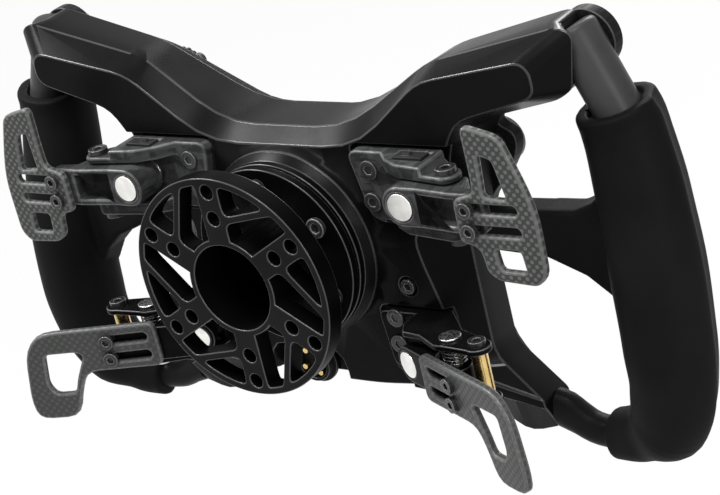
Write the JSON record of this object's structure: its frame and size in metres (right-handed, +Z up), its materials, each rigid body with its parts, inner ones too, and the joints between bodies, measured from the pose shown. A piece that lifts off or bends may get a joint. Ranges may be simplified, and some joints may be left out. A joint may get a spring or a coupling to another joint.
{
  "type": "racing wheel",
  "caption": "Formula-style simulator steering wheel with a bolt-on hub, side grips, shift and clutch paddles, push buttons and turning dials.",
  "frame": {"origin": "middle of the hub flange's rear face, on the steering axis", "axes": "+X to the driver's right, +Y back along the steering axis to the column, +Z up"},
  "size_m": [0.2922, 0.087, 0.1565],
  "materials": {
    "black_anodised": "satin black anodised, chamfers polished by wear",
    "grey_anodised": "satin dark grey anodised",
    "carbon_plate": "matt carbon twill laminate",
    "grip_rubber": "fine matt moulded rubber",
    "forged_carbon": "satin chopped carbon",
    "carbon_twill": "satin carbon twill laminate",
    "gloss_black": "gloss black paint",
    "black_steel": "black oxide steel",
    "bright_steel": "bare spring and pin steel",
    "bright_nickel": "nickel plated magnet",
    "brass": "bare brass",
    "black_plastic": "fine matt moulded plastic",
    "board_green": "green solder mask"
  },
  "bodies": {
    "wheel": {"hub_adapter": "black_anodised", "hub_screws": "black_steel", "rear_housing": "black_anodised", "front_plate": "carbon_plate", "plate_screws": "black_steel", "cover_screws": "black_steel", "grip_frame_screws": "black_steel", "shifter_bracket_screws": "black_steel", "shifter_pivots": "black_steel", "shifter_keepers": "bright_nickel", "shifter_switches": "black_plastic", "clutch_bracket_screws": "black_steel", "clutch_pivots": "bright_steel", "clutch_spacers": "brass", "clutch_spacer_screws": "black_steel", "clutch_sensors": "black_plastic", "circuit_board": "board_green", "socket": "black_anodised", "socket_pins": "brass", "button_bezels": "grey_anodised", "button_switches": "black_plastic", "dial_encoders": "black_plastic", "grip_frame_left": "black_anodised", "grip_left": "grip_rubber", "shifter_bracket_left": "forged_carbon", "clutch_bracket_left": "gloss_black", "clutch_spring_left": "bright_steel", "grip_frame_right": "black_anodised", "grip_right": "grip_rubber", "shifter_bracket_right": "forged_carbon", "clutch_bracket_right": "gloss_black", "clutch_spring_right": "bright_steel"},
    "shifter_left": {"shifter_lever_left": "forged_carbon", "shifter_magnet_left": "bright_nickel", "shifter_blade_left": "carbon_twill", "shifter_bolts_left": "black_steel"},
    "clutch_left": {"clutch_lever_left": "gloss_black", "clutch_magnet_left": "bright_nickel", "clutch_blade_left": "carbon_twill", "clutch_bolts_left": "black_steel"},
    "push_top_left": {"button_top_left": "black_plastic"},
    "push_thumb_left": {"button_thumb_left": "black_plastic"},
    "push_inner_left": {"button_inner_left": "black_plastic"},
    "push_lower_left": {"button_lower_left": "black_plastic"},
    "turn_upper_left": {"dial_upper_left": "black_plastic"},
    "turn_lower_left": {"dial_lower_left": "black_plastic"},
    "shifter_right": {"shifter_lever_right": "forged_carbon", "shifter_magnet_right": "bright_nickel", "shifter_blade_right": "carbon_twill", "shifter_bolts_right": "black_steel"},
    "clutch_right": {"clutch_lever_right": "gloss_black", "clutch_magnet_right": "bright_nickel", "clutch_blade_right": "carbon_twill", "clutch_bolts_right": "black_steel"},
    "push_top_right": {"button_top_right": "black_plastic"},
    "push_thumb_right": {"button_thumb_right": "black_plastic"},
    "push_inner_right": {"button_inner_right": "black_plastic"},
    "push_lower_right": {"button_lower_right": "black_plastic"},
    "turn_upper_right": {"dial_upper_right": "black_plastic"},
    "turn_lower_right": {"dial_lower_right": "black_plastic"}
  },
  "joints": [
    {"name": "shift_left", "type": "hinge", "parent": "wheel", "child": "shifter_left", "pos_m": [-0.0758, -0.0295, 0.0229], "axis": [0, 0, 1], "range_deg": [0, 6], "stiffness_Nm_per_rad": 1.5},
    {"name": "clutch_pull_left", "type": "hinge", "parent": "wheel", "child": "clutch_left", "pos_m": [-0.0668, -0.0242, -0.0364], "axis": [0, 0, 1], "range_deg": [0, 20], "stiffness_Nm_per_rad": 0.6},
    {"name": "press_top_left", "type": "slide", "parent": "wheel", "child": "push_top_left", "axis": [0, 1, 0], "range_m": [0, 0.0012], "stiffness_N_per_m": 400},
    {"name": "press_thumb_left", "type": "slide", "parent": "wheel", "child": "push_thumb_left", "axis": [0, 1, 0], "range_m": [0, 0.0012], "stiffness_N_per_m": 400},
    {"name": "press_inner_left", "type": "slide", "parent": "wheel", "child": "push_inner_left", "axis": [0, 1, 0], "range_m": [0, 0.0012], "stiffness_N_per_m": 400},
    {"name": "press_lower_left", "type": "slide", "parent": "wheel", "child": "push_lower_left", "axis": [0, 1, 0], "range_m": [0, 0.0012], "stiffness_N_per_m": 400},
    {"name": "dial_upper_left_turn", "type": "hinge", "parent": "wheel", "child": "turn_upper_left", "pos_m": [-0.071, -0.0754, 0.0455], "axis": [0, 1, 0], "continuous": true},
    {"name": "dial_lower_left_turn", "type": "hinge", "parent": "wheel", "child": "turn_lower_left", "pos_m": [-0.03, -0.0754, -0.037], "axis": [0, 1, 0], "continuous": true},
    {"name": "shift_right", "type": "hinge", "parent": "wheel", "child": "shifter_right", "pos_m": [0.0758, -0.0295, 0.0229], "axis": [0, 0, -1], "range_deg": [0, 6], "stiffness_Nm_per_rad": 1.5},
    {"name": "clutch_pull_right", "type": "hinge", "parent": "wheel", "child": "clutch_right", "pos_m": [0.0668, -0.0242, -0.0364], "axis": [0, 0, -1], "range_deg": [0, 20], "stiffness_Nm_per_rad": 0.6},
    {"name": "press_top_right", "type": "slide", "parent": "wheel", "child": "push_top_right", "axis": [0, 1, 0], "range_m": [0, 0.0012], "stiffness_N_per_m": 400},
    {"name": "press_thumb_right", "type": "slide", "parent": "wheel", "child": "push_thumb_right", "axis": [0, 1, 0], "range_m": [0, 0.0012], "stiffness_N_per_m": 400},
    {"name": "press_inner_right", "type": "slide", "parent": "wheel", "child": "push_inner_right", "axis": [0, 1, 0], "range_m": [0, 0.0012], "stiffness_N_per_m": 400},
    {"name": "press_lower_right", "type": "slide", "parent": "wheel", "child": "push_lower_right", "axis": [0, 1, 0], "range_m": [0, 0.0012], "stiffness_N_per_m": 400},
    {"name": "dial_upper_right_turn", "type": "hinge", "parent": "wheel", "child": "turn_upper_right", "pos_m": [0.071, -0.0754, 0.0455], "axis": [0, 1, 0], "continuous": true},
    {"name": "dial_lower_right_turn", "type": "hinge", "parent": "wheel", "child": "turn_lower_right", "pos_m": [0.03, -0.0754, -0.037], "axis": [0, 1, 0], "continuous": true}
  ]
}
